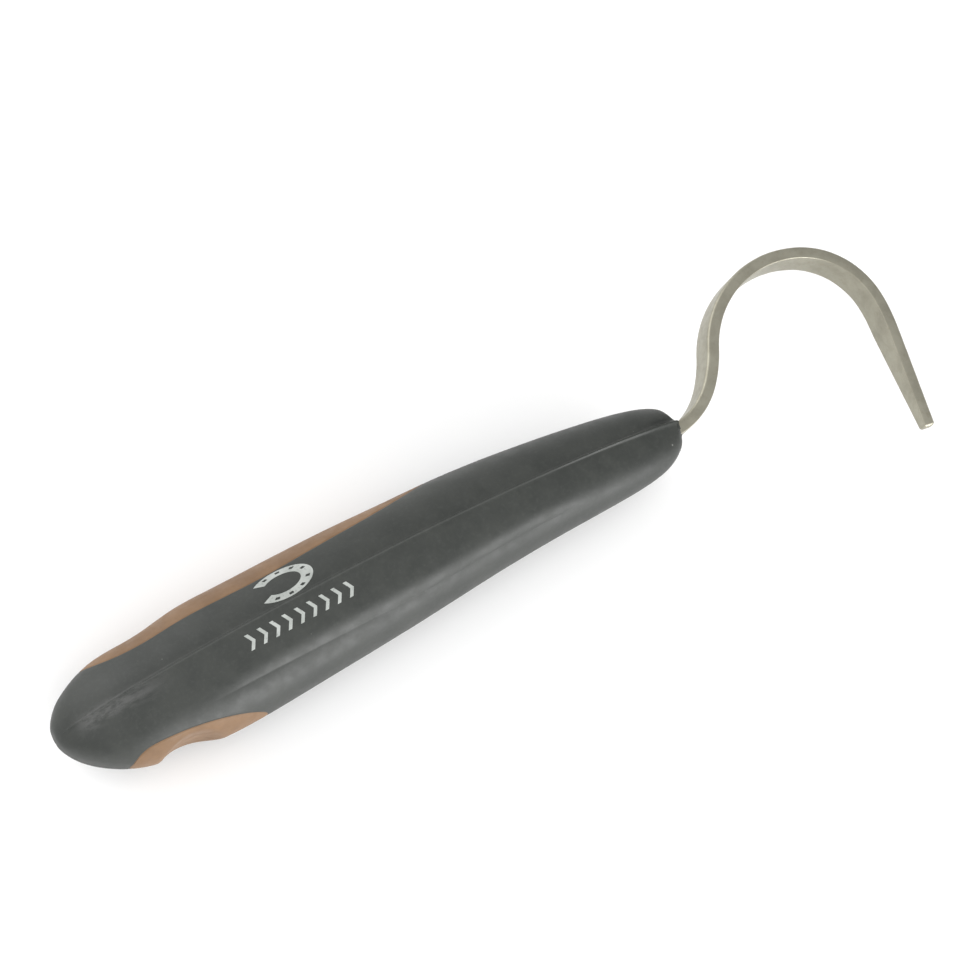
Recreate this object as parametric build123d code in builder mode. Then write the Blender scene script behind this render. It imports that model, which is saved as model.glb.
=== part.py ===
from build123d import *
import os

# Hoof pick with a flat steel hook and a two-colour moulded grip.
#
# The pick lies on its side, as on a shelf.  +X runs along the grip from the butt
# to the hook, +Y points to the palm side of the grip, and +Z is up, square to the
# plane in which the hook is bent.  The origin is under the middle of the whole
# pick, on the surface it lies on.  All lengths are in millimetres.

os.makedirs("parts", exist_ok=True)

# Where the butt end of the grip's long axis lies.  In the notes below, "along"
# and "up" are measured from this point, along the grip and towards the palm.
butt_x = -95.857
axis_y = 1.77
axis_z = 11.017
grip_frame = Plane(origin=(butt_x, axis_y, axis_z))

# Grip: stations along its axis, as (along, palm side, finger side, half width)
grip_stations = [
    (0.1, 1.5, -2.0, 1.6),
    (1.0, 3.2, -4.0, 3.1),
    (2.8, 5.15, -6.35, 5.0),
    (6.5, 7.4, -9.3, 7.2),
    (12.0, 9.25, -11.9, 9.2),
    (21.0, 9.9, -13.5, 10.4),
    (30.0, 11.15, -14.05, 10.9),
    (37.0, 11.37, -13.95, 11.0),
    (48.0, 11.53, -13.35, 11.0),
    (65.0, 11.6, -12.35, 10.7),
    (76.0, 11.32, -11.55, 10.4),
    (85.0, 11.12, -10.82, 10.0),
    (105.0, 9.6, -9.7, 8.9),
    (120.0, 7.66, -9.25, 7.7),
    (129.0, 5.98, -8.55, 6.6),
    (134.0, 4.25, -6.9, 5.5),
    (136.4, 2.1, -4.85, 4.6),
    (137.1, 0.5, -3.8, 3.9),
]
grip_length = grip_stations[-1][0]

# Section curves, as shares of the half width and of the height above or below the seam
palm_curve = ((0.95, 0.52), (0.62, 1.0))
finger_curve = ((0.97, 0.45), (0.94, 0.80), (0.48, 1.0))

# Seam between the two grip halves: an arc through these heights
seam_butt_up = -0.3
seam_middle = (72.0, 1.9)
seam_nose_up = -0.8

# Inner forms are the grip's own form made smaller, as (share of its size, start, end).
core_form = (0.72, 7.0, 126.0)
core_end = 118.0
palm_bed_form = (0.82, 2.5, 134.5)

# Inlaid pads: their edges as seen from the side, as (along, up)
palm_pad_edge = [(8.2, 8.9), (12.5, 7.7), (28.0, 7.75), (45.0, 7.9), (57.0, 8.6), (72.0, 9.55), (88.0, 11.4)]
finger_pad_edge = [(8.6, -11.6), (11.0, -10.4), (15.0, -10.0), (21.0, -10.5), (29.0, -11.9), (38.5, -14.5)]

# Finger groove: a round scallop across the finger side
groove_radius = 10.0
groove_centre = (20.2, -21.2)

# Steel bar and the hook it is bent into, in order from the grip to the tip
bar_width = 7.0
bar_thickness = 2.5
bar_up = -2.15
outer_edge_radius = 0.6
inner_edge_radius = 0.2
tang_start = 62.0
bend_start = 134.85
neck_radius, neck_angle = 17.5, 44.9
throat_radius, throat_angle = 29.8, 14.8
crown_radius, crown_angle = 22.6, 82.8
shoulder_radius, shoulder_angle = 16.6, 66.7
heel_radius, heel_angle = 32.0, 8.6
leg_length = 23.5
tip_width = 2.5
taper_length = 22.0
tang_holes = (72.0, 98.0)
tang_hole_radius = 1.6

# Blocks that cut the grip reach this far past it.
cut_reach = 20.0
through = 2 * axis_z + cut_reach


def section_plane(along):
    """Plane square to the grip's axis; its second axis points to the palm."""
    return Plane(origin=(butt_x + along, axis_y, axis_z), x_dir=(0, 0, -1), z_dir=(1, 0, 0))


def seam_up(along):
    """Height of the seam's arc at one station, near enough for the sections."""
    span = seam_middle[0] if along < seam_middle[0] else grip_length - seam_middle[0]
    end_up = seam_butt_up if along < seam_middle[0] else seam_nose_up
    reach = (along - seam_middle[0]) / span
    return seam_middle[1] + (end_up - seam_middle[1]) * reach**2


def grip_body(share=1.0, start=0.0, end=grip_length):
    """The grip's outer form, or a smaller copy of it between two places on its axis."""
    with BuildPart() as body:
        for along, palm, finger, half_width in grip_stations:
            waist, top, bottom = share * seam_up(along), share * palm, share * finger
            side = share * half_width
            palm_handles = [(w * side, waist + h * (top - waist)) for w, h in palm_curve]
            finger_handles = [(w * side, waist + h * (bottom - waist)) for w, h in finger_curve]
            with BuildSketch(section_plane(start + along * (end - start) / grip_length)):
                with BuildLine():
                    Bezier((side, waist), *palm_handles, (0, top))
                    Bezier((0, top), *[(-x, y) for x, y in reversed(palm_handles)], (-side, waist))
                    Bezier((-side, waist), *[(-x, y) for x, y in finger_handles], (0, bottom))
                    Bezier((0, bottom), *reversed(finger_handles), (side, waist))
                make_face()
        loft()
    return body.part


def seam_side(towards_palm):
    """Everything on one side of the seam, as a block that holds half the grip."""
    far = 2 * cut_reach if towards_palm else -2 * cut_reach
    with BuildPart() as block:
        with BuildSketch(grip_frame):
            with BuildLine():
                seam = ThreePointArc((0, seam_butt_up), seam_middle, (grip_length, seam_nose_up))
                Polyline(
                    seam @ 0,
                    (-cut_reach, seam_butt_up),
                    (-cut_reach, far),
                    (grip_length + cut_reach, far),
                    (grip_length + cut_reach, seam_nose_up),
                    seam @ 1,
                )
            make_face()
        extrude(amount=through / 2, both=True)
    return block.part


def pad_side(edge_points, far):
    """Everything beyond a pad's edge, as a block that holds the pad."""
    with BuildPart() as block:
        with BuildSketch(grip_frame):
            with BuildLine():
                edge = Spline(*edge_points)
                Polyline(edge @ 0, (edge_points[0][0], far), (edge_points[-1][0], far), edge @ 1)
            make_face()
        extrude(amount=through / 2, both=True)
    return block.part


def groove_cutter():
    """Cylinder across the pick that leaves the finger groove."""
    with BuildPart() as cutter:
        with BuildSketch(grip_frame):
            with Locations(groove_centre):
                Circle(groove_radius)
        extrude(amount=through / 2, both=True)
    return cutter.part


# Steel hook with its tang, one bent flat bar
with BuildPart() as pick_blade:
    with BuildLine(grip_frame):
        tang = Line((tang_start, bar_up), (bend_start, bar_up))
        neck = JernArc(tang @ 1, tang % 1, neck_radius, neck_angle)
        throat = JernArc(neck @ 1, neck % 1, throat_radius, throat_angle)
        crown = JernArc(throat @ 1, throat % 1, crown_radius, -crown_angle)
        shoulder = JernArc(crown @ 1, crown % 1, shoulder_radius, -shoulder_angle)
        heel = JernArc(shoulder @ 1, shoulder % 1, heel_radius, -heel_angle)
        leg = PolarLine(heel @ 1, leg_length, direction=heel % 1)
    with BuildSketch(section_plane(tang_start)) as bar_section:
        with Locations((0, bar_up)):
            Rectangle(bar_width, bar_thickness)
        fillet(bar_section.vertices().group_by(Axis.Y)[-1], outer_edge_radius)
        fillet(bar_section.vertices().group_by(Axis.Y)[0], inner_edge_radius)
    sweep()
    # The last straight narrows to the tip, seen against the flat of the bar.
    past_tip = 1.0
    for side in (-1, 1):
        with BuildSketch(Plane(origin=leg @ 1, x_dir=(0, 0, 1), z_dir=(1, 0, 0))):
            with BuildLine():
                Polyline(
                    (side * tip_width / 2, past_tip),
                    (side * tip_width / 2, 0),
                    (side * bar_width / 2, -taper_length),
                    (side * bar_width, -taper_length),
                    (side * bar_width, past_tip),
                    close=True,
                )
            make_face()
        extrude(amount=2 * bar_width, both=True, mode=Mode.SUBTRACT)
    # Holes through the tang's flat, which the core's plastic fills
    with BuildSketch(Plane.XZ.offset(-axis_y)):
        with Locations(*[(butt_x + along, axis_z) for along in tang_holes]):
            Circle(tang_hole_radius)
    extrude(amount=2 * bar_thickness, both=True, mode=Mode.SUBTRACT)
pick_blade.part.label = "pick_blade"

# The whole grip as one form, which its pieces are cut from
grip_form = grip_body()

# Rigid core moulded round the tang
with BuildPart() as handle_core:
    add(grip_body(*core_form))
    split(bisect_by=section_plane(core_end), keep=Keep.BOTTOM)
    add(pick_blade.part, mode=Mode.SUBTRACT)
handle_core.part.label = "handle_core"

# Tan strip let into the palm side
with BuildPart() as palm_pad:
    add(pad_side(palm_pad_edge, cut_reach))
    add(grip_form, mode=Mode.INTERSECT)
    add(grip_body(*palm_bed_form), mode=Mode.SUBTRACT)
palm_pad.part.label = "palm_pad"

# Tan patch under the fingers, with the groove that stops the hand sliding
with BuildPart() as finger_pad:
    add(pad_side(finger_pad_edge, -cut_reach))
    add(grip_form, mode=Mode.INTERSECT)
    add(handle_core.part, mode=Mode.SUBTRACT)
    add(groove_cutter(), mode=Mode.SUBTRACT)
finger_pad.part.label = "finger_pad"

# Dark soft-touch skin in two halves, which meet at the seam and close round the steel
with BuildPart() as palm_grip:
    add(grip_form)
    add(seam_side(towards_palm=True), mode=Mode.INTERSECT)
    for neighbour in (handle_core, pick_blade, palm_pad):
        add(neighbour.part, mode=Mode.SUBTRACT)
palm_grip.part.label = "palm_grip"

with BuildPart() as finger_grip:
    add(grip_form)
    add(seam_side(towards_palm=False), mode=Mode.INTERSECT)
    for neighbour in (handle_core, pick_blade, finger_pad):
        add(neighbour.part, mode=Mode.SUBTRACT)
    add(groove_cutter(), mode=Mode.SUBTRACT)
finger_grip.part.label = "finger_grip"

for node in (pick_blade, handle_core, palm_pad, finger_pad, palm_grip, finger_grip):
    export_step(node.part, f"parts/{node.part.label}.step")
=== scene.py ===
"""Looks of the hoof pick: a two-colour moulded grip, a printed mark and a bent steel bar.

The grip's pieces are grown from the sections of its form, so that the seam, the
edges of the tan inlays and the finger groove are real edges of the meshes.
Lengths named here are in millimetres from the butt end of the grip's long axis:
"along" runs towards the hook and "up" towards the palm.  place() turns them
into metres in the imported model's frame.
"""

import math

import bpy
import numpy as np
from mathutils import Matrix, Vector


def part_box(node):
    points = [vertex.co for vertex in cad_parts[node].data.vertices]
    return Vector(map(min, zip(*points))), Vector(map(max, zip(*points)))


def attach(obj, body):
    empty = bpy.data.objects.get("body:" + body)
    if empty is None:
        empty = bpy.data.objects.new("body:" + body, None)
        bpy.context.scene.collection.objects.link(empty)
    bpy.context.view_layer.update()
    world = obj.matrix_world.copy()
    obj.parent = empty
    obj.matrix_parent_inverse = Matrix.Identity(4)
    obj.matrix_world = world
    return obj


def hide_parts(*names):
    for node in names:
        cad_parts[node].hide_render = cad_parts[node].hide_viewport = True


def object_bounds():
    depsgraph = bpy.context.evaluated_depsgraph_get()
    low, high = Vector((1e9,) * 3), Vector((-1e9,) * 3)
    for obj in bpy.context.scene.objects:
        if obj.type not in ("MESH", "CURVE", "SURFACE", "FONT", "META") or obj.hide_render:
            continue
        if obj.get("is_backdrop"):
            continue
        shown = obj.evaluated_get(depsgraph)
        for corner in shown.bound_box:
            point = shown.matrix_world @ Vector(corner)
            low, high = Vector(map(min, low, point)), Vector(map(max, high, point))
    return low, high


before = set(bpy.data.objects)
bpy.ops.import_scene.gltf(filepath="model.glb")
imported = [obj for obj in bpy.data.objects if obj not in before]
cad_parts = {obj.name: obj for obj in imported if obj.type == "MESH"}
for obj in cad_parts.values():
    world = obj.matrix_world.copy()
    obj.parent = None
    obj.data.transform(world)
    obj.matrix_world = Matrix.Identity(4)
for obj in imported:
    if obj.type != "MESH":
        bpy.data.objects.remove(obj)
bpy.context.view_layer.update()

MM = 0.001
AXIS_Y = 1.77 * MM          # the grip's axis, beside the middle of the whole pick
grip_low, grip_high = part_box("finger_grip")
BUTT = Vector((grip_low.x - 0.1 * MM, AXIS_Y, (grip_low.z + grip_high.z) / 2))

# --- Grip form, the same sections as the CAD model's -------------------------

# (along, palm side, finger side, half width)
GRIP_STATIONS = [
    (0.1, 1.5, -2.0, 1.6),
    (1.0, 3.2, -4.0, 3.1),
    (2.8, 5.15, -6.35, 5.0),
    (6.5, 7.4, -9.3, 7.2),
    (12.0, 9.25, -11.9, 9.2),
    (21.0, 9.9, -13.5, 10.4),
    (30.0, 11.15, -14.05, 10.9),
    (37.0, 11.37, -13.95, 11.0),
    (48.0, 11.53, -13.35, 11.0),
    (65.0, 11.6, -12.35, 10.7),
    (76.0, 11.32, -11.55, 10.4),
    (85.0, 11.12, -10.82, 10.0),
    (105.0, 9.6, -9.7, 8.9),
    (120.0, 7.66, -9.25, 7.7),
    (129.0, 5.98, -8.55, 6.6),
    (134.0, 4.25, -6.9, 5.5),
    (136.4, 2.1, -4.85, 4.6),
    (137.1, 0.5, -3.8, 3.9),
]
GRIP_LENGTH = GRIP_STATIONS[-1][0]
PALM_CURVE = ((0.95, 0.52), (0.62, 1.0))
FINGER_CURVE = ((0.97, 0.45), (0.94, 0.80), (0.48, 1.0))
SEAM_BUTT_UP, SEAM_MIDDLE, SEAM_NOSE_UP = -0.3, (72.0, 1.9), -0.8

# Edges of the tan inlays, seen from the side, and the finger groove
PALM_EDGE = [
    (8.2, 8.9), (12.5, 7.7), (28.0, 7.75), (45.0, 7.9), (57.0, 8.6), (72.0, 9.55), (88.0, 11.4),
]
FINGER_EDGE = [
    (8.6, -11.6), (11.0, -10.4), (15.0, -10.0), (21.0, -10.5), (29.0, -11.9), (38.5, -14.5),
]
GROOVE_RADIUS = 10.0
GROOVE_CENTRE = (20.2, -21.2)
GROOVE_LIP = 0.28           # rounding where the groove meets the surface

# --- Steel bar --------------------------------------------------------------

BAR_WIDTH = 7.0
BAR_THICKNESS = 2.5
BAR_UP = -2.15
OUTER_EDGE, INNER_EDGE = 0.6, 0.2
BAR_START = 128.0
# (radius, degrees) of each bend in turn, positive towards the palm
BEND_START = 134.85
BENDS = [(17.5, 44.9), (29.8, 14.8), (22.6, -82.8), (16.6, -66.7), (32.0, -8.6)]
LEG_LENGTH = 23.5
TAPER_LENGTH = 22.0
TIP_WIDTH = 2.5
TIP_ROUND, TIP_STEPS = 0.6, 5
CORNER_STEPS = 6            # steps round each edge of the bar's section


def place(points):
    """Points (along, up, sideways) in millimetres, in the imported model's frame in metres."""
    return np.asarray(points, float) * MM + np.array(BUTT)


def smooth_step(value, low, high):
    """0 below low, 1 above high, and a smooth rise between them."""
    t = np.clip((np.asarray(value, float) - low) / (high - low), 0.0, 1.0)
    return t * t * (3.0 - 2.0 * t)


def natural_spline(knots, values, at):
    """Cubic spline through the values, straight at its two ends."""
    knots, values = np.asarray(knots, float), np.asarray(values, float)
    gap = np.diff(knots)
    slope = np.diff(values) / gap
    count = len(knots)
    system = np.eye(count)
    right = np.zeros(count)
    for i in range(1, count - 1):
        system[i, i - 1 : i + 2] = gap[i - 1], 2 * (gap[i - 1] + gap[i]), gap[i]
        right[i] = 6 * (slope[i] - slope[i - 1])
    bend = np.linalg.solve(system, right)
    i = np.clip(np.searchsorted(knots, at) - 1, 0, count - 2)
    left, here = knots[i + 1] - at, at - knots[i]
    return (
        (bend[i] * left**3 + bend[i + 1] * here**3) / (6 * gap[i])
        + (values[i] / gap[i] - bend[i] * gap[i] / 6) * left
        + (values[i + 1] / gap[i] - bend[i + 1] * gap[i] / 6) * here
    )


def seam_up(along):
    """Height of the seam on the grip's flank."""
    before = along < SEAM_MIDDLE[0]
    span = np.where(before, SEAM_MIDDLE[0], GRIP_LENGTH - SEAM_MIDDLE[0])
    end_up = np.where(before, SEAM_BUTT_UP, SEAM_NOSE_UP)
    reach = (along - SEAM_MIDDLE[0]) / span
    return SEAM_MIDDLE[1] + (end_up - SEAM_MIDDLE[1]) * reach**2


# The form closes to a point at the butt, and is open round the bar at the nose.
_stations = np.array([(0.0, SEAM_BUTT_UP, SEAM_BUTT_UP, 0.0)] + GRIP_STATIONS)
_steps = np.hypot(np.diff(_stations[:, 0]), np.diff(_stations[:, 3]))
FORM_KNOTS = np.concatenate([[0.0], np.cumsum(_steps)])


def form_at(reach):
    """(along, palm side, finger side, half width) at a distance along the form's surface."""
    return [natural_spline(FORM_KNOTS, _stations[:, k], reach) for k in range(4)]


def bezier(points, t):
    """A Bezier curve of any degree, at an array of parameters."""
    degree = len(points) - 1
    t = np.asarray(t)[:, None]
    return sum(
        math.comb(degree, k) * t**k * (1 - t) ** (degree - k) * np.asarray(p, float)
        for k, p in enumerate(points)
    )


FINE = np.linspace(0.0, 1.0, 160)

# The flank rolls over towards a crease on the finger half, and runs flatter below it.
RIDGE_UP = -8.4
RIDGE_SHARE = 0.55          # its place on a section that is too small to reach that far
PALM_SHARE = 0.30           # where the palm half, which has no ridge, changes its rows
RIDGE_DEPTH = 0.52          # how far the surface sinks at the crease
RIDGE_ROLL = 3.3            # width of surface above the crease that rolls over into it
RIDGE_STARTS = (22.0, 42.0)     # where along the grip it comes in
RIDGE_ENDS = (116.0, 98.0)      # and fades out
TINY = 1e-9                 # keeps a division by a length of nought finite


def quarter_curve(reach, palm_side):
    """Half of one section, from the seam to the middle.

    Gives its place along the grip, its points as (sideways, up), how far each
    lies from the seam along the surface, and how far the ridge lies.
    """
    along, palm, finger, side = (float(v) for v in form_at(np.float64(reach)))
    waist = float(seam_up(np.float64(along)))
    far = palm if palm_side else finger
    handles = PALM_CURVE if palm_side else FINGER_CURVE
    points = [(side, waist), *[(w * side, waist + h * (far - waist)) for w, h in handles], (0, far)]
    curve = bezier(points, FINE)
    step = np.gradient(curve, axis=0)
    distance = np.concatenate([[0.0], np.cumsum(np.hypot(*np.diff(curve, axis=0).T))])
    ridge = (PALM_SHARE if palm_side else RIDGE_SHARE) * distance[-1]
    if not palm_side:
        ridge = min(ridge, float(np.interp(-RIDGE_UP, -curve[:, 1], distance, right=ridge)))
        fade = smooth_step(along, *RIDGE_STARTS) * smooth_step(along, *RIDGE_ENDS)
        rolling = np.clip(1.0 - (ridge - distance) / RIDGE_ROLL, 0.0, 1.0) ** 2
        levelling = (distance[-1] - distance) / (distance[-1] - ridge + TINY)
        depth = RIDGE_DEPTH * fade * np.where(distance < ridge, rolling, levelling)
        inward = np.stack([step[:, 1], -step[:, 0]], axis=1)
        inward = inward / (np.linalg.norm(inward, axis=1, keepdims=True) + 1e-12)
        curve = curve + inward * depth[:, None]
    return along, curve, distance, ridge


def spaced(length, near, middle, far):
    """Places from 0 to length: fine steps given at both ends, even ones between."""
    near, far = np.asarray(near), np.asarray(far)
    shrink = min(1.0, length / (1.6 * (near[-1] + far[-1]) + TINY))
    first, last = near * shrink, length - far[::-1] * shrink
    return np.concatenate([first, np.linspace(first[-1], last[0], middle + 2)[1:-1], last])


SEAM_STEPS = [0.0, 0.07, 0.14, 0.21, 0.29, 0.38, 0.5, 0.7, 1.0, 1.4]
RIDGE_STEPS = [0.0, 0.12, 0.3, 0.6]
EDGE_STEPS = [0.0, 0.08, 0.16, 0.25, 0.36, 0.55, 0.85]
MIDDLE_STEPS = [0.0, 0.3]
UPPER_ROWS, LOWER_ROWS, INLAY_ROWS = 16, 14, 12
LEAST_BELOW_RIDGE = 0.3     # the inlay's edge never comes closer to the ridge than this


class Half:
    """One half of the grip as a grid of points, normals and distances from its edges.

    Each column runs from the seam on the near flank over the middle to the seam
    on the far flank.  Rows are shared out so that some always lie on the ridge
    and on the edge of the inlay; where there is no inlay its rows close up.
    """

    def __init__(self, reaches, palm_side, edge_points):
        self.palm_side = palm_side
        edge_along, edge_up = np.array(edge_points).T
        sections = [quarter_curve(reach, palm_side) for reach in reaches]
        curves = np.array(
            [np.column_stack([np.full(len(FINE), along), curve[:, ::-1]]) for along, curve, _, _ in sections]
        )
        normals = outward(curves, palm_side)
        points, facing, seam_gap, edge_gap, inlay = [], [], [], [], []
        for (along, curve, distance, ridge), fine, normal in zip(sections, curves, normals):
            total = edge_place = distance[-1]
            if edge_along[0] < along < edge_along[-1]:
                limit = abs(natural_spline(edge_along, edge_up, np.float64(along)))
                edge_place = float(np.interp(limit, np.abs(curve[:, 1]), distance))
                edge_place = min(max(edge_place, ridge + LEAST_BELOW_RIDGE), total)
            upper = spaced(ridge, SEAM_STEPS, UPPER_ROWS, RIDGE_STEPS)
            lower = ridge + spaced(edge_place - ridge, RIDGE_STEPS, LOWER_ROWS, EDGE_STEPS)[1:]
            pad = edge_place + spaced(total - edge_place, EDGE_STEPS, INLAY_ROWS, MIDDLE_STEPS)[1:]
            places = np.concatenate([upper, lower, pad])
            self.dark_rows = len(upper) + len(lower)
            near = np.column_stack([np.interp(places, distance, fine[:, k]) for k in range(3)])
            face = np.column_stack([np.interp(places, distance, normal[:, k]) for k in range(3)])
            points.append(np.concatenate([near, near[-2::-1] * (1, 1, -1)]))
            facing.append(np.concatenate([face, face[-2::-1] * (1, 1, -1)]))
            seam_gap.append(np.concatenate([places, places[-2::-1]]))
            has_inlay = smooth_step(total - edge_place, 0.02, 0.6)
            gap = np.abs(places - edge_place) / max(has_inlay, 0.01)
            edge_gap.append(np.concatenate([gap, gap[-2::-1]]))
            inlay.append(total - edge_place > 1e-6)
        self.points, self.normals = np.array(points), np.array(facing)
        self.seam_gap, self.edge_gap, self.inlay = np.array(seam_gap), np.array(edge_gap), inlay


def outward(grid, palm_side):
    """Unit normals of a grid of points (along, up, sideways) on one side of the grip."""
    across = np.cross(np.gradient(grid, axis=0), np.gradient(grid, axis=1)) * (1 if palm_side else -1)
    size = np.linalg.norm(across, axis=2, keepdims=True)
    return np.where(size > 1e-9, across / np.maximum(size, 1e-12), (-1.0, 0.0, 0.0))


def wave(grid, scale, seed):
    """Slow unevenness between -1 and 1, the same on every run."""
    x, y, z = (grid / scale).transpose(2, 0, 1)
    return (
        np.sin(1.3 * x + 0.7 * y + seed) * np.cos(0.9 * z - 1.7 * y + 2 * seed)
        + 0.5 * np.sin(2.9 * x - 1.1 * z + 3 * seed) * np.sin(2.3 * y + 1.9 * z)
    ) / 1.5


def bump_at(distance, centre, width):
    """A rounded ridge of height 1 at one distance."""
    return np.exp(-(((distance - centre) / width) ** 2))


SEAM_BEAD = 0.11            # flash that stands out along the seam
NOSE_LIP = 0.26             # and how much more it stands out at the nose
BEAD_STARTS, LIP_STARTS = (0.5, 3.0), (95.0, 134.0)
SEAM_DIP = 0.04             # the finger side sinks a little beside it
INLAY_GROOVE = 0.10         # fine groove round each inlay
NOSE_SCOOP = 0.50           # how deep the palm half sinks at the nose, beside the lip
NOSE_SETBACK = 0.75         # how far both halves are cut back beside the steel
SETBACK_ALONG = (129.0, 137.0)  # where along the grip that comes in
SETBACK_WIDTH = (7.0, 1.0)      # and how far from the seam it fades and is full


def dress(half):
    """The half's points with the seam's bead, the inlay's groove, the nose and unevenness."""
    along = half.points[:, :, 0]
    height = 0.02 * wave(half.points, 9.0, 1.0) + 0.012 * wave(half.points, 2.6, 4.0)
    bead = SEAM_BEAD * smooth_step(along, *BEAD_STARTS) + NOSE_LIP * smooth_step(along, *LIP_STARTS)
    if half.palm_side:
        height = height + bead * bump_at(half.seam_gap, 0.0, 0.22)
        at_nose = smooth_step(along, 125.0, 133.5) * smooth_step(along, 137.4, 134.5)
        height = height - NOSE_SCOOP * at_nose * bump_at(half.seam_gap, 0.85, 0.62)
    else:
        lip_width = 0.24 + 0.45 * smooth_step(along, 118.0, 136.0)
        height = height + bead * bump_at(half.seam_gap, 0.0, lip_width)
        height = height - SEAM_DIP * bump_at(half.seam_gap, 0.6, 0.3)
    height = height - INLAY_GROOVE * bump_at(half.edge_gap, 0.0, 0.17)
    dressed = half.points + half.normals * height[:, :, None]
    beside_seam = smooth_step(half.seam_gap, *SETBACK_WIDTH)
    dressed[:, :, 0] -= NOSE_SETBACK * smooth_step(along, *SETBACK_ALONG) * beside_seam
    return dressed


def cut_groove(grid):
    """Lifts the points that lie in the finger groove onto its round floor."""
    along, up = grid[:, :, 0], grid[:, :, 1]
    inside = GROOVE_RADIUS**2 - (along - GROOVE_CENTRE[0]) ** 2
    floor = GROOVE_CENTRE[1] + np.sqrt(np.maximum(inside, 0.0))
    gap = np.clip((floor - up) / GROOVE_LIP, -30, 30)
    lifted = up + GROOVE_LIP * np.log1p(np.exp(gap))
    soft = np.where((up < 0) & (inside > 0), lifted, up)
    return np.stack([along, soft, grid[:, :, 2]], axis=2)


# (how far ahead of the end, how far closed, clearance from the bar, lean of the surface) of its rings
NOSE_RINGS = [
    (0.15, 0.30, 0.30, 60),
    (0.22, 0.65, 0.25, 80),
    (0.20, 0.90, 0.20, 110),
    (0.08, 1.0, 0.12, 150),
    (-2.6, 1.0, 0.10, 180),
]
SLOT_SQUARENESS = 8


def close_nose(points, normals):
    """Rolls the form's open end in towards the steel, then into the slot that it leaves by."""
    end = points[-1]
    ray = end[:, 1:] - (BAR_UP, 0.0)
    unit_ray = ray / np.linalg.norm(ray, axis=1, keepdims=True)
    rings, facing = [], []
    for ahead, closed, clearance, lean in NOSE_RINGS:
        half_size = np.array((BAR_THICKNESS / 2 + clearance, BAR_WIDTH / 2 + clearance))
        powers = (np.abs(ray / half_size) ** SLOT_SQUARENESS).sum(axis=1, keepdims=True)
        stretch = powers ** (1 / SLOT_SQUARENESS)
        slot = ray / np.maximum(stretch, 1.0) + (BAR_UP, 0.0)
        closing = end[:, 1:] * (1 - closed) + slot * closed
        rings.append(np.column_stack([end[:, 0] + ahead, closing]))
        angle = math.radians(lean)
        facing.append(np.column_stack([np.full(len(end), math.sin(angle)), unit_ray * math.cos(angle)]))
    return np.concatenate([points, np.array(rings)]), np.concatenate([normals, np.array(facing)])


# --- Meshes -----------------------------------------------------------------

SKIN = 1.0                  # thickness of the rubber skins and inlays
MERGE = 0.002               # points closer than this are one


def quad_faces(columns, rows, keep, flip=False):
    """Quads of a grid of vertices, numbered column by column, where keep(column, row) says."""
    faces = []
    for c in range(columns - 1):
        for r in range(rows - 1):
            if keep(c, r):
                quad = (c * rows + r, c * rows + r + 1, (c + 1) * rows + r + 1, (c + 1) * rows + r)
                faces.append(quad[::-1] if flip else quad)
    return faces


def merged(points, faces):
    """Joins points that lie together, and drops the faces and points that this leaves over."""
    first_at, joined = {}, []
    for index, point in enumerate(points):
        joined.append(first_at.setdefault(tuple(np.round(point / MERGE).astype(int)), index))
    kept_faces = []
    for face in faces:
        corners = [joined[i] for i in face]
        corners = [v for k, v in enumerate(corners) if v != corners[k - 1]]
        if len(set(corners)) == len(corners) >= 3:
            kept_faces.append(corners)
    used = sorted({v for face in kept_faces for v in face})
    number = {v: k for k, v in enumerate(used)}
    return used, [[number[v] for v in face] for face in kept_faces]


def shell(points, normals, faces, thickness):
    """A closed solid: the surface given, the same surface set back, and rims between their edges."""
    used, faces = merged(points, faces)
    outer = points[used]
    inner = outer - normals[used] * thickness
    count = len(outer)
    uses = {}
    for face in faces:
        for a, b in zip(face, face[1:] + face[:1]):
            uses.setdefault((min(a, b), max(a, b)), []).append((a, b))
    open_edges = [edges[0] for edges in uses.values() if len(edges) == 1]
    rims = [(b, a, a + count, b + count) for a, b in open_edges]
    backs = [[v + count for v in reversed(face)] for face in faces]
    return np.concatenate([outer, inner]), faces + backs + rims


def piece(name, points, faces, material, slot, sharp_degrees=40.0, replaces=None):
    """A finished object from vertices in millimetres and faces."""
    mesh = bpy.data.meshes.new(name)
    mesh.from_pydata([tuple(p) for p in place(points)], [], faces)
    mesh.materials.append(material)
    mesh.shade_smooth()
    mesh.set_sharp_from_angle(angle=math.radians(sharp_degrees))
    obj = bpy.data.objects.new(name, mesh)
    bpy.context.scene.collection.objects.link(obj)
    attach(obj, "root")
    if replaces:
        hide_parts(replaces)
    return obj


# --- Materials --------------------------------------------------------------


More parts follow.
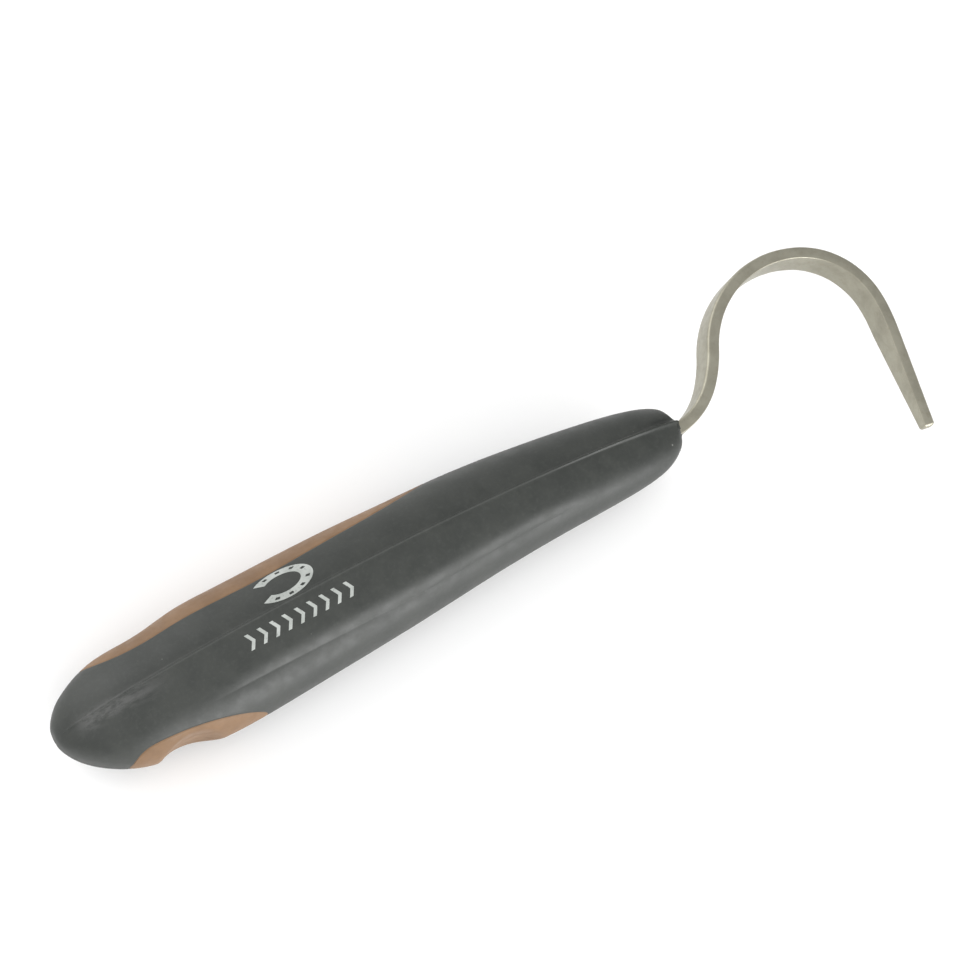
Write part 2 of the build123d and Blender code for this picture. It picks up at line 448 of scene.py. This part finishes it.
class Nodes:
    """Short hand for building one procedural material."""

    def __init__(self, name):
        self.material = bpy.data.materials.new(name)
        self.material.use_nodes = True
        self.tree = self.material.node_tree
        self.tree.nodes.clear()
        self.shader = self.tree.nodes.new("ShaderNodeBsdfPrincipled")
        output = self.tree.nodes.new("ShaderNodeOutputMaterial")
        self.tree.links.new(self.shader.outputs[0], output.inputs[0])
        self.place = self.tree.nodes.new("ShaderNodeTexCoord").outputs["Object"]

    def link(self, value, socket):
        if isinstance(value, bpy.types.NodeSocket):
            self.tree.links.new(value, socket)
        else:
            socket.default_value = value

    def noise(self, size_mm, detail=4.0, rough=0.55, stretch=(1, 1, 1)):
        """Noise whose blobs are about size_mm across."""
        mapping = self.tree.nodes.new("ShaderNodeMapping")
        mapping.inputs["Scale"].default_value = stretch
        self.tree.links.new(self.place, mapping.inputs["Vector"])
        node = self.tree.nodes.new("ShaderNodeTexNoise")
        self.tree.links.new(mapping.outputs[0], node.inputs["Vector"])
        node.inputs["Scale"].default_value = 1.0 / (size_mm * MM)
        node.inputs["Detail"].default_value = detail
        node.inputs["Roughness"].default_value = rough
        return node.outputs["Fac"]

    def specks(self, spacing_mm, size):
        """Small dots scattered at random, 1 inside a dot and 0 outside."""
        node = self.tree.nodes.new("ShaderNodeTexVoronoi")
        self.tree.links.new(self.place, node.inputs["Vector"])
        node.inputs["Scale"].default_value = 1.0 / (spacing_mm * MM)
        return self.ramp(node.outputs["Distance"], size, size * 0.6)

    def axis(self, index):
        """One coordinate of the place, in metres."""
        node = self.tree.nodes.new("ShaderNodeSeparateXYZ")
        self.tree.links.new(self.place, node.inputs[0])
        return node.outputs[index]

    def ramp(self, value, low, high, out_low=0.0, out_high=1.0):
        """value taken from low..high to out_low..out_high, smoothly."""
        node = self.tree.nodes.new("ShaderNodeMapRange")
        node.interpolation_type = "SMOOTHSTEP"
        self.link(value, node.inputs["Value"])
        limits = {"From Min": low, "From Max": high, "To Min": out_low, "To Max": out_high}
        for socket, number in limits.items():
            node.inputs[socket].default_value = number
        return node.outputs[0]

    def math(self, operation, a, b=0.0):
        node = self.tree.nodes.new("ShaderNodeMath")
        node.operation = operation
        self.link(a, node.inputs[0])
        self.link(b, node.inputs[1])
        return node.outputs[0]

    def mix(self, factor, a, b):
        node = self.tree.nodes.new("ShaderNodeMix")
        node.data_type = "RGBA"
        self.link(factor, node.inputs[0])
        self.link(a, node.inputs[6])
        self.link(b, node.inputs[7])
        return node.outputs[2]

    def bump(self, height, strength, distance_mm, after=None):
        node = self.tree.nodes.new("ShaderNodeBump")
        node.inputs["Strength"].default_value = strength
        node.inputs["Distance"].default_value = distance_mm * MM
        self.link(height, node.inputs["Height"])
        if after is not None:
            self.link(after, node.inputs["Normal"])
        return node.outputs[0]

    def finish(self, colour, roughness, normal, **fixed):
        self.link(colour, self.shader.inputs["Base Color"])
        self.link(roughness, self.shader.inputs["Roughness"])
        self.link(normal, self.shader.inputs["Normal"])
        for name, value in fixed.items():
            socket = name.replace("_", " ").title().replace("Ior", "IOR")
            self.shader.inputs[socket].default_value = value
        return self.material


def rgb(red, green, blue):
    """A colour as a four-number tuple."""
    return (red, green, blue, 1.0)


def dark_rubber():
    """Matt slate soft-touch rubber: mottled, faintly dusty, with a painted sheen along the seam near the
    butt.
    """
    n = Nodes("dark_rubber")
    clouds = n.noise(6.0, 5.0, 0.65)
    grain = n.noise(0.8, 6.0, 0.7)
    colour = n.mix(n.ramp(clouds, 0.35, 0.68), rgb(0.0205, 0.0235, 0.0205), rgb(0.029, 0.032, 0.028))
    colour = n.mix(n.ramp(grain, 0.45, 0.75, 0.0, 0.28), colour, rgb(0.056, 0.060, 0.054))
    # Painted sheen: a paler streaky patch along the seam near the butt, painted in as a reflection of light
    from_butt = n.math("SUBTRACT", n.axis(0), BUTT.x)
    from_axis = n.math("ABSOLUTE", n.math("SUBTRACT", n.axis(1), BUTT.y - 0.8 * MM))
    streaks = n.noise(1.6, 6.0, 0.7, stretch=(0.22, 1, 1))
    near_butt = n.ramp(from_butt, 24 * MM, 12 * MM)
    butt_sheen_mask = n.math("MULTIPLY", near_butt, n.ramp(from_axis, 2.6 * MM, 0.4 * MM))
    butt_sheen_mask = n.math("MULTIPLY", butt_sheen_mask, n.ramp(from_butt, 2 * MM, 6 * MM))
    butt_sheen_mask = n.math("MULTIPLY", butt_sheen_mask, n.ramp(streaks, 0.38, 0.62))
    # Paler colour of the painted sheen near the butt
    colour = n.mix(n.math("MULTIPLY", butt_sheen_mask, 0.6), colour, rgb(0.10, 0.10, 0.098))
    dust = n.math("MULTIPLY", n.specks(4.2, 0.055), n.ramp(n.noise(9.0, 2.0), 0.5, 0.6))
    colour = n.mix(n.math("MULTIPLY", dust, 0.45), colour, rgb(0.30, 0.30, 0.28))
    roughness = n.ramp(n.noise(3.0, 5.0, 0.6), 0.3, 0.7, 0.44, 0.56)
    normal = n.bump(n.noise(0.28, 3.0, 0.5), 0.18, 0.05)
    normal = n.bump(n.noise(2.2, 4.0, 0.6), 0.12, 0.06, normal)
    return n.finish(colour, roughness, normal, specular_ior_level=0.5)


def tan_rubber():
    """Tan soft-touch rubber with a faint bloom and patches of grime."""
    n = Nodes("tan_rubber")
    clouds = n.noise(9.0, 5.0, 0.6)
    colour = n.mix(n.ramp(clouds, 0.35, 0.65), rgb(0.168, 0.099, 0.053), rgb(0.208, 0.125, 0.068))
    grime = n.ramp(n.noise(2.4, 6.0, 0.7), 0.5, 0.72, 0.0, 0.30)
    colour = n.mix(grime, colour, rgb(0.150, 0.090, 0.052))
    roughness = n.ramp(n.noise(2.0, 5.0, 0.6), 0.3, 0.7, 0.48, 0.62)
    normal = n.bump(n.noise(0.3, 3.0, 0.5), 0.2, 0.05)
    normal = n.bump(n.noise(2.0, 4.0, 0.6), 0.25, 0.05, normal)
    return n.finish(colour, roughness, normal, specular_ior_level=0.3)


def steel():
    """Satin nickel-brown steel, rolled along its length and worn brighter in places."""
    n = Nodes("steel")
    clouds = n.noise(5.0, 5.0, 0.6)
    colour = n.mix(n.ramp(clouds, 0.35, 0.65), rgb(0.285, 0.272, 0.218), rgb(0.340, 0.326, 0.263))
    stain = n.ramp(n.noise(1.3, 6.0, 0.7), 0.52, 0.75, 0.0, 0.5)
    colour = n.mix(stain, colour, rgb(0.235, 0.212, 0.152))
    roughness = n.ramp(n.noise(1.2, 6.0, 0.7), 0.3, 0.7, 0.34, 0.50)
    normal = n.bump(n.noise(0.25, 4.0, 0.6), 0.24, 0.03)
    normal = n.bump(n.noise(1.8, 3.0, 0.5), 0.2, 0.04, normal)
    return n.finish(colour, roughness, normal, metallic=0.85)


def pale_ink():
    """Pale grey pad-printed ink, worn through to the rubber in small spots."""
    n = Nodes("pale_ink")
    worn = n.ramp(n.noise(0.55, 6.0, 0.75), 0.56, 0.66)
    colour = n.mix(n.ramp(n.noise(3.0), 0.3, 0.7), rgb(0.33, 0.35, 0.33), rgb(0.42, 0.44, 0.42))
    colour = n.mix(n.math("MULTIPLY", worn, 0.65), colour, rgb(0.08, 0.08, 0.08))
    normal = n.bump(n.noise(0.3, 3.0, 0.5), 0.2, 0.03)
    return n.finish(colour, n.ramp(worn, 0.0, 1.0, 0.5, 0.6), normal)


def core_plastic():
    """Black moulded plastic of the hidden core."""
    n = Nodes("core_plastic")
    colour = n.mix(n.noise(4.0), rgb(0.015, 0.015, 0.015), rgb(0.03, 0.03, 0.03))
    return n.finish(colour, n.ramp(n.noise(1.0), 0.3, 0.7, 0.4, 0.55), n.bump(n.noise(0.5), 0.2, 0.05))


def floor_paper():
    """Plain white studio paper."""
    n = Nodes("floor_paper")
    colour = n.mix(n.noise(60.0), rgb(0.94, 0.94, 0.94), rgb(0.96, 0.96, 0.96))
    return n.finish(colour, 0.8, n.bump(n.noise(1.5), 0.05, 0.1))


# --- Pieces -----------------------------------------------------------------


BUTT_REACHES = [0.0, 0.15, 0.35, 0.6]   # closer sections where the butt is most curved
SECTION_STEP = 0.5


def make_grip(rubber, tan):
    """Both rubber halves and both inlays."""
    end = FORM_KNOTS[-1]
    reaches = np.concatenate([BUTT_REACHES, np.arange(0.9, end - 0.3, SECTION_STEP), [end]])
    halves = (
        (True, PALM_EDGE, "palm_rubber", "palm_grip", "palm_inlay", "palm_pad"),
        (False, FINGER_EDGE, "finger_rubber", "finger_grip", "finger_inlay", "finger_pad"),
    )
    for palm_side, edge, skin_name, skin_node, inlay_name, inlay_node in halves:
        half = Half(reaches, palm_side, edge)
        grid = dress(half)
        if not palm_side:
            grid = cut_groove(grid)
        grid, normals = close_nose(grid, half.normals)
        columns, rows = grid.shape[:2]
        points, normals = grid.reshape(-1, 3), normals.reshape(-1, 3)

        def is_inlay(column, row):
            beside = column + 1 < len(half.inlay) and (half.inlay[column] or half.inlay[column + 1])
            return beside and half.dark_rows - 1 <= row < rows - half.dark_rows

        dark_faces = quad_faces(columns, rows, lambda c, r: not is_inlay(c, r), flip=palm_side)
        inlay_faces = quad_faces(columns, rows, is_inlay, flip=palm_side)
        dark_shell = shell(points, normals, dark_faces, SKIN)
        piece(skin_name, *dark_shell, rubber, "dark_rubber", replaces=skin_node)
        inlay_shell = shell(points, normals, inlay_faces, SKIN)
        piece(inlay_name, *inlay_shell, tan, "tan_rubber", replaces=inlay_node)


def bar_path():
    """Points (along, up), headings and distances along the bar's middle line."""
    points, headings = [(BAR_START, BAR_UP)], [0.0]

    def step(length, turn, count):
        for _ in range(count):
            heading = headings[-1] + turn / count / 2
            chord = length / count
            x, y = points[-1]
            points.append((x + chord * math.cos(heading), y + chord * math.sin(heading)))
            headings.append(headings[-1] + turn / count)

    step(BEND_START - BAR_START, 0.0, 6)
    for radius, degrees in BENDS:
        turn = math.radians(degrees)
        step(radius * abs(turn), turn, max(8, int(radius * abs(turn) / 0.5)))
    step(LEG_LENGTH, 0.0, 50)
    points = np.array(points)
    distance = np.concatenate([[0.0], np.cumsum(np.hypot(*np.diff(points, axis=0).T))])
    return points, np.array(headings), distance


def bar_section(half_width, half_thick, outer, inner):
    """Rounded rectangle as (sideways, outwards) points; outwards is the outside of the bend."""
    corners = (
        (half_width, half_thick, outer, 0),
        (-half_width, half_thick, outer, 90),
        (-half_width, -half_thick, inner, 180),
        (half_width, -half_thick, inner, 270),
    )
    outline = []
    for x, y, radius, start in corners:
        cx, cy = x - math.copysign(radius, x), y - math.copysign(radius, y)
        for k in range(CORNER_STEPS + 1):
            angle = math.radians(start + 90 / CORNER_STEPS * k)
            outline.append((cx + radius * math.cos(angle), cy + radius * math.sin(angle)))
    return np.array(outline)


def make_bar(metal):
    """The hook, swept along its path, narrowed and rounded over at its tip."""
    points, headings, distance = bar_path()
    total = distance[-1]
    stations = list(zip(points[:-1], headings[:-1], distance[:-1]))
    for k in range(1, TIP_STEPS + 1):
        back = TIP_ROUND * (1 - math.sin(math.pi / 2 * k / TIP_STEPS))
        ahead = np.array((math.cos(headings[-1]), math.sin(headings[-1])))
        stations.append((points[-1] - back * ahead, headings[-1], total - back))
    rings = []
    for (x, y), heading, place_on in stations:
        left = total - place_on
        narrow = min(1.0, left / TAPER_LENGTH)
        over = max(0.0, 1.0 - left / TIP_ROUND)
        inset = TIP_ROUND * (1 - math.sqrt(1 - over**2))
        half_width = (TIP_WIDTH + (BAR_WIDTH - TIP_WIDTH) * narrow) / 2 - inset
        section = bar_section(half_width, BAR_THICKNESS / 2 - inset, OUTER_EDGE - inset / 2, INNER_EDGE)
        out = np.array((-math.sin(heading), math.cos(heading)))
        across, outwards = section.T
        rings.append(np.column_stack([x + out[0] * outwards, y + out[1] * outwards, across]))
    grid = np.array(rings)
    grid = grid + 0.012 * wave(grid, 1.7, 2.0)[:, :, None]
    columns, rows = grid.shape[:2]
    faces = [
        (c * rows + r, (c + 1) * rows + r, (c + 1) * rows + (r + 1) % rows, c * rows + (r + 1) % rows)
        for c in range(columns - 1)
        for r in range(rows)
    ]
    tip = (columns - 1) * rows
    faces += [tuple(range(rows)), tuple(tip + r for r in reversed(range(rows)))]
    points = grid.reshape(-1, 3)
    piece("steel_hook", points, faces, metal, "steel", sharp_degrees=32, replaces="pick_blade")


# Printed mark: a plain horseshoe over a row of arrowheads
SHOE_CENTRE = (48.0, 3.5)
SHOE_SIZE = (6.4, 3.1)
SHOE_OPENING = 38.0         # degrees from the middle of the opening to each heel
NAILS = 4                   # nail holes on each side
ARROWS_FIRST, ARROWS_STEP, ARROWS_COUNT = 36.6, 2.65, 9
ARROWS_UP, ARROWS_HEIGHT = -3.4, 3.0
INK_HEIGHT = 0.035
RIM_OUT, RIM_IN = (0.90, 1.0), (0.60, 0.76)     # the shoe's two rims, as shares of its size
NAIL_GAP = 5                # degrees left clear on each side of a nail hole
ARM_WIDTH, ARM_LEAN = 0.75, 0.9
NORMAL_STEP = 0.2           # distance between the points that give the surface's slope


REACHES = np.linspace(0.0, FORM_KNOTS[-1], 600)


def on_grip(along, up_seam):
    """Points on the near flank, up_seam millimetres of surface above or below the seam."""
    reaches = np.interp(along, form_at(REACHES)[0], REACHES)
    found = []
    for reach, rise in zip(reaches, up_seam):
        x, curve, distance, _ = quarter_curve(reach, rise >= 0)
        side, up = (np.interp(abs(rise), distance, curve[:, k]) for k in (0, 1))
        found.append((x, up, side))
    return np.array(found)


def printed(points_2d):
    """Points just above the flank at a grid (n, m, 2) of places on it, and their normals."""
    flat = points_2d.reshape(-1, 2)
    base = on_grip(flat[:, 0], flat[:, 1])
    ahead = on_grip(flat[:, 0] + NORMAL_STEP, flat[:, 1])
    above = on_grip(flat[:, 0], flat[:, 1] + NORMAL_STEP)
    normal = np.cross(ahead - base, above - base)
    normal /= np.linalg.norm(normal, axis=1, keepdims=True)
    return base + normal * INK_HEIGHT, normal


def strip(start, end, width_low, width_high, count, shape):
    """Grid of a curved strip: shape(t, w) gives a place for t along it and w across it."""
    across = np.linspace(width_low, width_high, 4)
    return np.array([[shape(t, w) for w in across] for t in np.linspace(start, end, count)])


def make_mark(ink):
    """The printed mark, as thin patches of ink on the flank that faces up."""

    def shoe(angle, share):
        x = SHOE_CENTRE[0] + SHOE_SIZE[0] * share * math.cos(angle)
        return x, SHOE_CENTRE[1] + SHOE_SIZE[1] * share * math.sin(angle)

    heel = math.radians(180 - SHOE_OPENING)
    patches = [strip(-heel, heel, *rim, 70, shoe) for rim in (RIM_OUT, RIM_IN)]
    # Between the rims the ink stops at each nail hole.
    nail_gap = math.radians(NAIL_GAP)
    places = [side * heel * (k + 0.7) / (NAILS + 0.5) for side in (-1, 1) for k in range(NAILS)]
    stops = [-heel, *sorted(places), heel]
    for start, end in zip(stops[:-1], stops[1:]):
        first = start if start == -heel else start + nail_gap
        last = end if end == heel else end - nail_gap
        patches.append(strip(first, last, RIM_IN[1], RIM_OUT[0], 10, shoe))
    for k in range(ARROWS_COUNT):
        x0 = ARROWS_FIRST + k * ARROWS_STEP
        for sign in (-1, 1):

            def arm(t, w, x0=x0, sign=sign):
                return x0 + w + ARM_LEAN * (1 - t), ARROWS_UP + sign * t * ARROWS_HEIGHT / 2

            patches.append(strip(0.0, 1.0, 0.0, ARM_WIDTH, 5, arm))
    points, faces = [], []
    for patch in patches:
        columns, rows = patch.shape[:2]
        quads = quad_faces(columns, rows, lambda c, r: True)
        patch_points, patch_faces = shell(*printed(patch), quads, INK_HEIGHT)
        faces += [[v + len(points) for v in face] for face in patch_faces]
        points += list(patch_points)
    piece("printed_mark", np.array(points), faces, ink, "dark_rubber")


FLOOR_SIZE = 8.0


def make_floor(material):
    """A wide flat sheet of paper under the pick's lowest point."""
    half = FLOOR_SIZE / 2
    mesh = bpy.data.meshes.new("studio_floor")
    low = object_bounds()[0][2]
    corners = [(x * half, y * half, low) for x, y in ((-1, -1), (1, -1), (1, 1), (-1, 1))]
    mesh.from_pydata(corners, [], [(0, 1, 2, 3)])
    mesh.materials.append(material)
    floor = bpy.data.objects.new("studio_floor", mesh)
    bpy.context.scene.collection.objects.link(floor)
    floor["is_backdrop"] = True


# --- Camera and light ---------------------------------------------------------

CAMERA_FROM_BUTT = (-99.8, -61.1, 478.7)
CAMERA_RIGHT = Vector((0.8271, -0.4941, 0.2678))
CAMERA_BACK = Vector((-0.3751, -0.1305, 0.9178))
CAMERA_ANGLE = 20.0


def make_camera():
    """Looks down at the pick from the butt's side, with the hook at the upper right."""
    back = CAMERA_BACK.normalized()
    up = back.cross(CAMERA_RIGHT).normalized()
    right = up.cross(back)
    data = bpy.data.cameras.new("camera")
    data.angle = math.radians(CAMERA_ANGLE)
    camera = bpy.data.objects.new("camera", data)
    turn = Matrix((right, up, back)).transposed().to_4x4()
    camera.matrix_world = Matrix.Translation(place(CAMERA_FROM_BUTT)) @ turn
    bpy.context.scene.collection.objects.link(camera)
    bpy.context.scene.camera = camera


# Soft boxes: (name, degrees round from the hook's direction, degrees up, size, watts)
LIGHT_DISTANCE = 0.8
SOFT_BOXES = [
    ("finger_side_box", 282, 15, 0.7, 8.2),
    ("butt_box", 180, 45, 0.9, 2.0),
    ("palm_side_box", 110, 30, 0.9, 4.0),
    ("top_box", 0, 85, 0.5, 0.6),
]
ROOM_GLOW = 0.64


def make_light():
    """Soft boxes all round, the strongest low on the finger side, in a dim white room."""
    world = bpy.data.worlds.new("studio")
    world.use_nodes = True
    background = world.node_tree.nodes["Background"]
    background.inputs["Color"].default_value = rgb(1.0, 1.0, 1.0)
    background.inputs["Strength"].default_value = ROOM_GLOW
    bpy.context.scene.world = world
    for name, around, up, size, watts in SOFT_BOXES:
        around, up = math.radians(around), math.radians(up)
        away = Vector((math.cos(around) * math.cos(up), math.sin(around) * math.cos(up), math.sin(up)))
        data = bpy.data.lights.new(name, "AREA")
        data.shape = "DISK"
        data.size = size
        data.energy = watts
        light = bpy.data.objects.new(name, data)
        light.location = away * LIGHT_DISTANCE
        light.rotation_euler = away.to_track_quat("Z", "Y").to_euler()
        bpy.context.scene.collection.objects.link(light)
    bpy.context.scene.view_settings.view_transform = "Standard"


rubber, tan = dark_rubber(), tan_rubber()
make_grip(rubber, tan)
make_bar(steel())
make_mark(pale_ink())
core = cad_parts["handle_core"]
core.data.materials.clear()
core.data.materials.append(core_plastic())
make_floor(floor_paper())
make_camera()
make_light()
